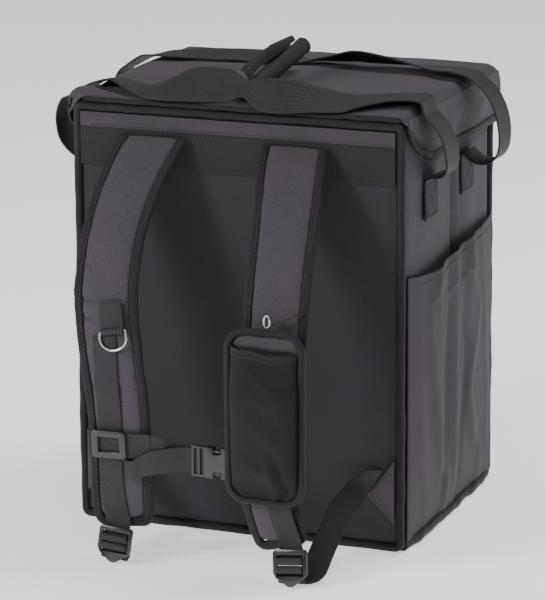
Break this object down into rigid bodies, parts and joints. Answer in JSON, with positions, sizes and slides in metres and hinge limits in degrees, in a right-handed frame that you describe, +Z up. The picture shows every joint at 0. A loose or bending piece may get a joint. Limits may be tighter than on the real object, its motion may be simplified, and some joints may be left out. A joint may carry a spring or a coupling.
{
  "type": "backpack",
  "caption": "Box-shaped insulated delivery backpack with a soft lid, carrying handles, padded shoulder straps, a phone pouch and a side pocket.",
  "frame": {"origin": "on the floor under the middle of the box", "axes": "+Z up, the strap side faces -Y, the side pocket is on +X"},
  "size_m": [0.4344, 0.4363, 0.4883],
  "materials": {
    "cloth": "woven",
    "webbing": "woven",
    "binding": "woven",
    "mesh": "woven",
    "plastic": "satin",
    "metal": "satin"
  },
  "bodies": {
    "backpack": {"panel_strap_side": "cloth", "panel_far_side": "cloth", "panel_left": "cloth", "panel_right": "cloth", "panel_base": "cloth", "top_strip": "cloth", "corner_patch_left": "cloth", "corner_patch_right": "cloth", "lid_top": "cloth", "lid_skirt_left": "cloth", "lid_skirt_far": "cloth", "lid_skirt_right": "cloth", "grip_wrap": "cloth", "shoulder_pad_left": "cloth", "shoulder_pad_right": "cloth", "pouch_back": "cloth", "side_pocket": "cloth", "binding_strap_side": "binding", "binding_far_side": "binding", "binding_base_left": "binding", "binding_base_right": "binding", "lid_hem_binding": "binding", "pad_binding_left": "binding", "pad_binding_right": "binding", "pouch_binding": "binding", "pouch_mouth": "binding", "webbing_band": "webbing", "handle_near": "webbing", "handle_far": "webbing", "pad_webbing_left": "webbing", "pad_webbing_right": "webbing", "lower_webbing_left": "webbing", "lower_webbing_right": "webbing", "ring_tab": "webbing", "sternum_tab": "webbing", "sternum_webbing_front": "webbing", "sternum_webbing_back": "webbing", "sternum_webbing_right": "webbing", "pouch_cord": "webbing", "pouch_mesh": "mesh", "ladder_lock_left": "plastic", "ladder_lock_right": "plastic", "sternum_slider": "plastic", "buckle_plug": "plastic", "buckle_socket": "plastic", "pouch_hook": "metal"},
    "d_ring": {"d_ring": "metal"}
  },
  "joints": [
    {"name": "d_ring_swing", "type": "hinge", "parent": "backpack", "child": "d_ring", "pos_m": [-0.08739, -0.25721, 0.23414], "axis": [-0.9846, -0.0283, -0.1724], "range_deg": [0, 150]}
  ]
}
